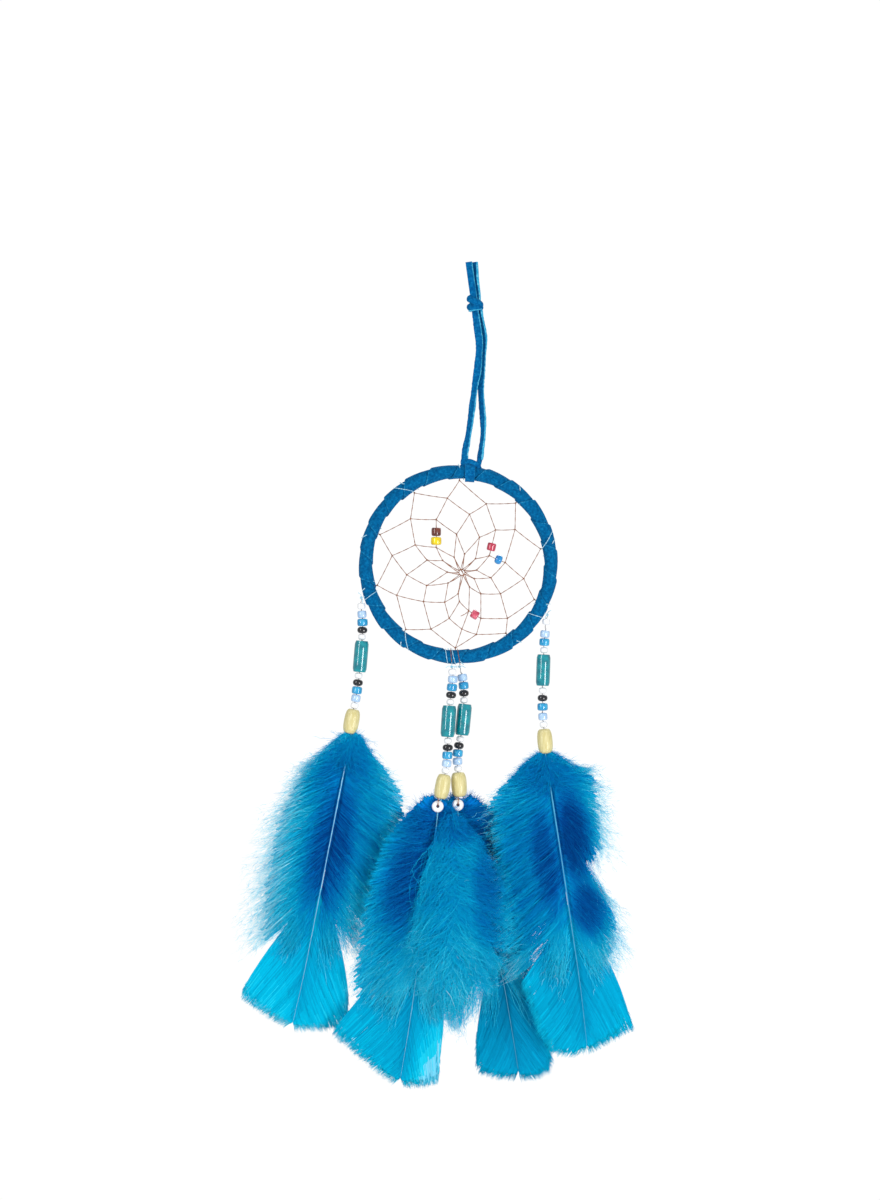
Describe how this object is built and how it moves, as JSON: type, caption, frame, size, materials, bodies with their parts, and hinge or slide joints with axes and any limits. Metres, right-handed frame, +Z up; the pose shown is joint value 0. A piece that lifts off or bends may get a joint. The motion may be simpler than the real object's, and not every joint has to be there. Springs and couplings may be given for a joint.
{
  "type": "dream catcher",
  "caption": "Dream catcher: a suede-wrapped hoop with a beaded thread web, hung on a knotted lace loop, with bead strings and dyed feathers that swing below it.",
  "frame": {"origin": "where a peg holds the lace loop, between its two strands just under the knot", "axes": "+Z up along the hang, -Y towards the viewer, X across the hoop"},
  "size_m": [0.1764, 0.0126, 0.3684],
  "materials": {
    "suede": "soft suede with a short nap",
    "ring_wire": "plain wire",
    "web_thread": "waxed thread",
    "bead_thread": "fine white thread",
    "white_glass": "opaque gloss",
    "pale_glass": "opaque gloss",
    "blue_glass": "opaque gloss",
    "black_glass": "opaque gloss",
    "teal_glass": "colour-lined gloss",
    "pale_wood": "turned and lightly varnished",
    "dyed_feather": "dyed turkey plumage",
    "web_bead_brown": "opaque gloss",
    "web_bead_yellow": "opaque gloss",
    "web_bead_red": "clear with a red lining",
    "web_bead_blue": "opaque gloss",
    "web_bead_pink": "clear with a pink lining"
  },
  "bodies": {
    "hanger": {"hang_knot": "suede", "lace_strand_left": "suede", "lace_strand_right": "suede"},
    "hitch": {"lace_hitch": "suede"},
    "hoop": {"hoop_ring": "ring_wire", "hoop_wrap": "suede", "web_thread": "web_thread", "web_bead_brown": "web_bead_brown", "web_bead_yellow": "web_bead_yellow", "web_bead_red": "web_bead_red", "web_bead_blue": "web_bead_blue", "web_bead_pink": "web_bead_pink"},
    "left_tie": {"left_tie": "bead_thread"},
    "left_beads": {"left_thread": "bead_thread", "left_top_bead": "white_glass", "left_pale_bead": "pale_glass", "left_blue_bead": "blue_glass", "left_black_bead": "black_glass", "left_black_bead_low": "black_glass", "left_blue_bead_low": "blue_glass", "left_pale_bead_low": "pale_glass"},
    "left_tube": {"left_tube_bead": "teal_glass"},
    "left_feather": {"left_wood_bead": "pale_wood", "left_feather": "dyed_feather"},
    "mid_left_tie": {"mid_left_tie": "bead_thread"},
    "mid_left_beads": {"mid_left_thread": "bead_thread", "mid_left_top_bead": "white_glass", "mid_left_pale_bead": "pale_glass", "mid_left_blue_bead": "blue_glass", "mid_left_black_bead": "black_glass", "mid_left_black_bead_low": "black_glass", "mid_left_blue_bead_low": "blue_glass", "mid_left_pale_bead_low": "pale_glass"},
    "mid_left_tube": {"mid_left_tube_bead": "teal_glass"},
    "mid_left_feather": {"mid_left_wood_bead": "pale_wood", "mid_left_feather": "dyed_feather", "mid_left_quill_bead": "white_glass"},
    "mid_right_tie": {"mid_right_tie": "bead_thread"},
    "mid_right_beads": {"mid_right_thread": "bead_thread", "mid_right_pale_bead": "pale_glass", "mid_right_blue_bead": "blue_glass", "mid_right_black_bead": "black_glass", "mid_right_black_bead_low": "black_glass", "mid_right_blue_bead_low": "blue_glass", "mid_right_pale_bead_low": "pale_glass"},
    "mid_right_tube": {"mid_right_tube_bead": "teal_glass"},
    "mid_right_feather": {"mid_right_wood_bead": "pale_wood", "mid_right_feather": "dyed_feather", "mid_right_quill_bead": "white_glass"},
    "right_tie": {"right_tie": "bead_thread"},
    "right_beads": {"right_thread": "bead_thread", "right_top_bead": "white_glass", "right_pale_bead": "pale_glass", "right_blue_bead": "blue_glass", "right_black_bead_low": "black_glass", "right_blue_bead_low": "blue_glass", "right_pale_bead_low": "pale_glass"},
    "right_tube": {"right_tube_bead": "teal_glass"},
    "right_feather": {"right_wood_bead": "pale_wood", "right_feather": "dyed_feather"}
  },
  "joints": [
    {"name": "lace_twist", "type": "hinge", "parent": "hanger", "child": "hitch", "pos_m": [-0.005, 0, -0.07138], "axis": [0, 0, 1], "range_deg": [-180, 180]},
    {"name": "hoop_rock", "type": "hinge", "parent": "hitch", "child": "hoop", "pos_m": [-0.005, 0, -0.07138], "axis": [0.9921, 0, -0.1253], "range_deg": [-60, 60]},
    {"name": "left_sway", "type": "hinge", "parent": "hoop", "child": "left_tie", "pos_m": [-0.0537, 0, -0.1275], "axis": [0, 1, 0], "range_deg": [0, 40]},
    {"name": "left_swing", "type": "hinge", "parent": "left_tie", "child": "left_beads", "pos_m": [-0.0537, 0, -0.1275], "axis": [1, 0, 0], "range_deg": [0, 60]},
    {"name": "left_tube_spin", "type": "hinge", "parent": "left_beads", "child": "left_tube", "pos_m": [-0.05394, 0, -0.15376], "axis": [-0.0852, 0, -0.9964], "continuous": true},
    {"name": "left_feather_sway", "type": "hinge", "parent": "left_beads", "child": "left_feather", "pos_m": [-0.05686, 0, -0.17742], "axis": [0, 1, 0], "range_deg": [0, 12]},
    {"name": "mid_left_sway", "type": "hinge", "parent": "hoop", "child": "mid_left_tie", "pos_m": [-0.0132, -0.002, -0.1584], "axis": [0, 1, 0], "range_deg": [0, 25]},
    {"name": "mid_left_swing", "type": "hinge", "parent": "mid_left_tie", "child": "mid_left_beads", "pos_m": [-0.0132, -0.002, -0.1584], "axis": [1, 0, 0], "range_deg": [-60, 0]},
    {"name": "mid_left_tube_spin", "type": "hinge", "parent": "mid_left_beads", "child": "mid_left_tube", "pos_m": [-0.01463, -0.002, -0.18277], "axis": [-0.0616, 0, -0.9981], "continuous": true},
    {"name": "mid_left_feather_sway", "type": "hinge", "parent": "mid_left_beads", "child": "mid_left_feather", "pos_m": [-0.0162, -0.002, -0.20653], "axis": [0, 1, 0], "range_deg": [0, 12]},
    {"name": "mid_right_sway", "type": "hinge", "parent": "hoop", "child": "mid_right_tie", "pos_m": [-0.0096, 0.002, -0.1584], "axis": [0, 1, 0], "range_deg": [-25, 0]},
    {"name": "mid_right_swing", "type": "hinge", "parent": "mid_right_tie", "child": "mid_right_beads", "pos_m": [-0.0096, 0.002, -0.1584], "axis": [1, 0, 0], "range_deg": [0, 60]},
    {"name": "mid_right_tube_spin", "type": "hinge", "parent": "mid_right_beads", "child": "mid_right_tube", "pos_m": [-0.00791, 0.002, -0.18209], "axis": [-0.091, 0, -0.9959], "continuous": true},
    {"name": "mid_right_feather_sway", "type": "hinge", "parent": "mid_right_beads", "child": "mid_right_feather", "pos_m": [-0.01036, 0.002, -0.20571], "axis": [0, 1, 0], "range_deg": [-12, 0]},
    {"name": "right_sway", "type": "hinge", "parent": "hoop", "child": "right_tie", "pos_m": [0.0297, 0, -0.1351], "axis": [0, 1, 0], "range_deg": [-40, 0]},
    {"name": "right_swing", "type": "hinge", "parent": "right_tie", "child": "right_beads", "pos_m": [0.0297, 0, -0.1351], "axis": [1, 0, 0], "range_deg": [-60, 0]},
    {"name": "right_tube_spin", "type": "hinge", "parent": "right_beads", "child": "right_tube", "pos_m": [0.02782, 0, -0.1599], "axis": [-0.0341, 0, -0.9994], "continuous": true},
    {"name": "right_feather_sway", "type": "hinge", "parent": "right_beads", "child": "right_feather", "pos_m": [0.02804, 0, -0.18623], "axis": [0, 1, 0], "range_deg": [-12, 0]}
  ]
}
